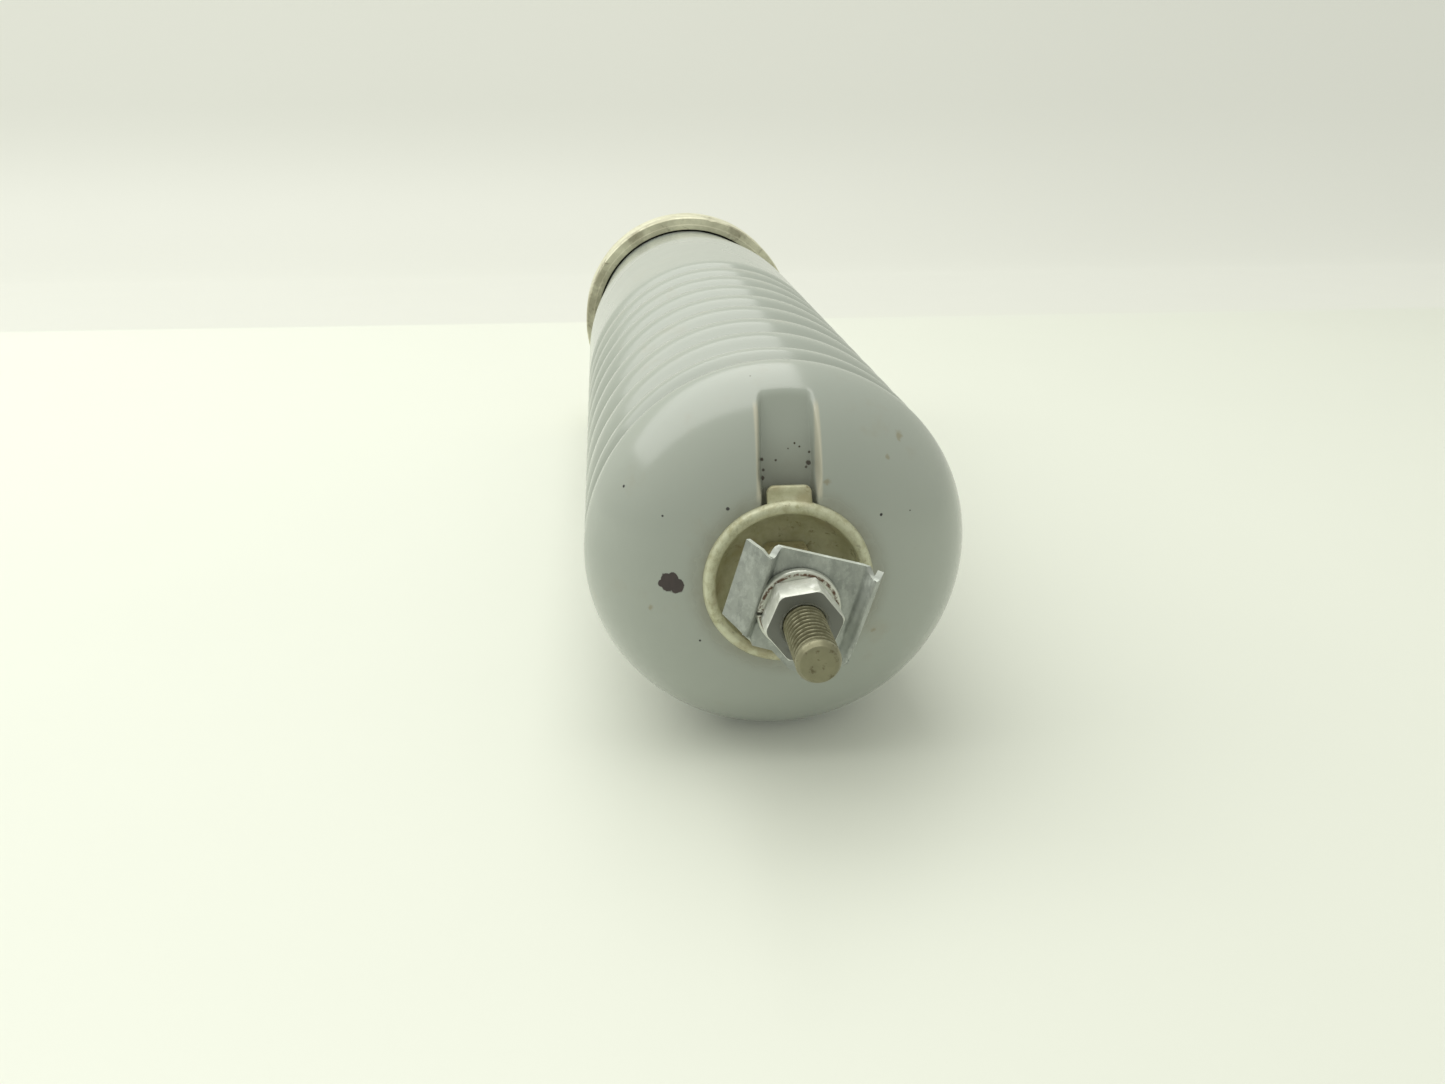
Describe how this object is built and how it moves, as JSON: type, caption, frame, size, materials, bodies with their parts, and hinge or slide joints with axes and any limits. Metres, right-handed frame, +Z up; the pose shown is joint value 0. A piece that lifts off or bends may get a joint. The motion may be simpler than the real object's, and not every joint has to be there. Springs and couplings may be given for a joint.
{
  "type": "distribution arrester",
  "caption": "Ribbed grey porcelain arrester housing with a studded wire-clamp terminal on its grooved face, a metal end cap and a ground stud.",
  "frame": {"origin": "on the axis at the middle of the plain band that a hanger clamps round", "axes": "+Y along the axis towards the ground end, -Y out of the line terminal, +Z up through the vent groove, +X to the right seen from the line end"},
  "size_m": [0.0824, 0.3645, 0.0824],
  "materials": {
    "porcelain": "glossy sky-grey glaze, slightly stained",
    "tinned_cup": "aged tin plate over brass, dull, yellowed",
    "tinned_cap": "aged spun metal, patchy and stained",
    "tinned_stud": "worn tin over bronze, rolled thread",
    "galvanised": "dull hot-dip zinc with faint spangle",
    "lock_steel": "zinc plate with rust in the slit",
    "nut_steel": "bright zinc plate, worn corners",
    "plated_steel": "plated sheet",
    "spring_steel": "plated spring wire",
    "copper": "bare copper strip",
    "electrode": "pressed brass",
    "ceramic": "unglazed steatite",
    "valve_block": "pressed silicon carbide",
    "pressboard": "varnished pressboard",
    "gasket": "matt",
    "sealant": "bitumen, matt black"
  },
  "bodies": {
    "arrester": {"porcelain_housing": "porcelain", "terminal_cup": "tinned_cup", "cup_gasket": "gasket", "terminal_stud": "tinned_stud", "jam_nut": "tinned_cup", "standoff_sleeve": "tinned_cup", "inner_washer": "gasket", "contact_spring": "spring_steel", "contact_strap": "copper", "spring_seat": "plated_steel", "gap_electrode_1": "electrode", "gap_electrode_2": "electrode", "gap_electrode_3": "electrode", "gap_electrode_4": "electrode", "gap_electrode_5": "electrode", "gap_electrode_6": "electrode", "gap_spacer_1": "ceramic", "gap_spacer_2": "ceramic", "gap_spacer_3": "ceramic", "gap_spacer_4": "ceramic", "gap_spacer_5": "ceramic", "gap_shroud": "ceramic", "gap_contact_plate": "plated_steel", "valve_block_1": "valve_block", "valve_block_2": "valve_block", "valve_block_3": "valve_block", "valve_block_4": "valve_block", "valve_block_5": "valve_block", "valve_block_6": "valve_block", "liner_tube": "pressboard", "end_contact_plate": "plated_steel", "end_gasket": "gasket", "closure_plate": "plated_steel", "end_cap": "tinned_cap", "cap_sealing_ring": "sealant", "ground_stud": "tinned_stud", "ground_gasket": "gasket"},
    "line_washer": {"terminal_lock_washer": "lock_steel"},
    "line_nut": {"terminal_nut": "nut_steel"},
    "wire_clamp": {"clamp_plate": "galvanised"},
    "ground_washers": {"ground_flat_washer": "galvanised", "ground_lock_washer": "lock_steel"},
    "ground_nut": {"ground_nut": "nut_steel"}
  },
  "joints": [
    {"name": "line_washer_slide", "type": "slide", "parent": "arrester", "child": "line_washer", "axis": [0, -1, 0], "range_m": [0, 0.0071]},
    {"name": "line_nut_turn", "type": "hinge", "parent": "line_washer", "child": "line_nut", "pos_m": [0, -0.212, 0], "axis": [0, -1, 0], "range_deg": [0, 1800]},
    {"name": "wire_clamp_turn", "type": "hinge", "parent": "line_washer", "child": "wire_clamp", "pos_m": [0, -0.203, 0], "axis": [0, -1, 0], "continuous": true},
    {"name": "ground_washer_slide", "type": "slide", "parent": "arrester", "child": "ground_washers", "axis": [0, 1, 0], "range_m": [0, 0.0085]},
    {"name": "ground_nut_turn", "type": "hinge", "parent": "ground_washers", "child": "ground_nut", "pos_m": [0, 0.112, 0], "axis": [0, 1, 0], "range_deg": [0, 2160]}
  ],
  "couplings": [
    {"joint": "line_washer_slide", "follows": "line_nut_turn", "m_per_rad": 0.00022458},
    {"joint": "ground_washer_slide", "follows": "ground_nut_turn", "m_per_rad": 0.00022458}
  ]
}
